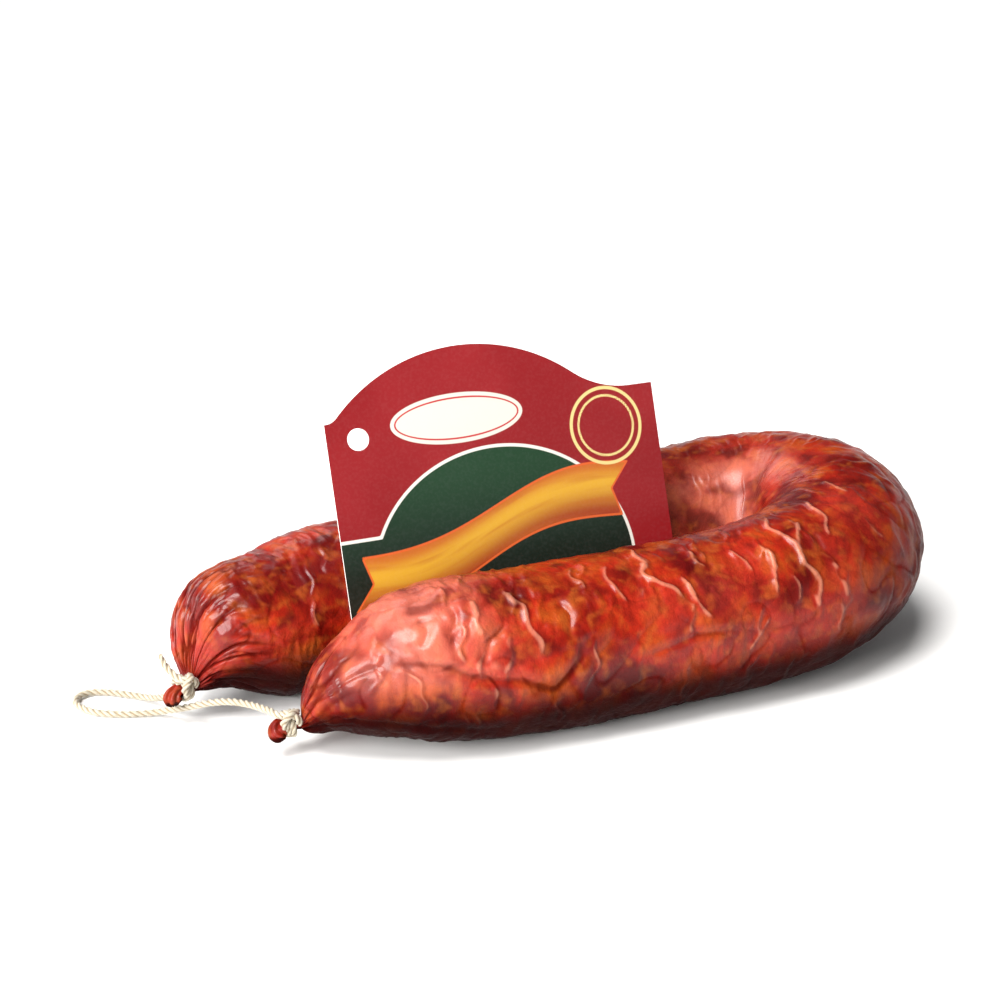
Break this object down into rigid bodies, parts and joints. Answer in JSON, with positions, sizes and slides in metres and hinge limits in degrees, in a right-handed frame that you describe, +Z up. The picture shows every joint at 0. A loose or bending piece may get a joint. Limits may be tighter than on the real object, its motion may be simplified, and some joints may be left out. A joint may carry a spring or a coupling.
{
  "type": "cured sausage",
  "caption": "Cured sausage in natural casing, bent into a horseshoe, its ends tied and joined by a twine loop, with a die-cut card hang tag standing between its arms.",
  "frame": {"origin": "middle of the base, on the plane the sausage lies on, without the free twine", "axes": "+X towards the bend, along the arms; +Y from the front arm to the back arm; +Z up"},
  "size_m": [0.2177, 0.0942, 0.0816],
  "materials": {
    "casing": "glossy, mottled smoked casing",
    "twine": "matt twisted cotton",
    "card": "coated printed card"
  },
  "bodies": {
    "root": {"sausage": "casing", "front_tie": "twine", "back_tie": "twine", "twine_loop": "twine", "hang_tag": "card"}
  },
  "joints": []
}
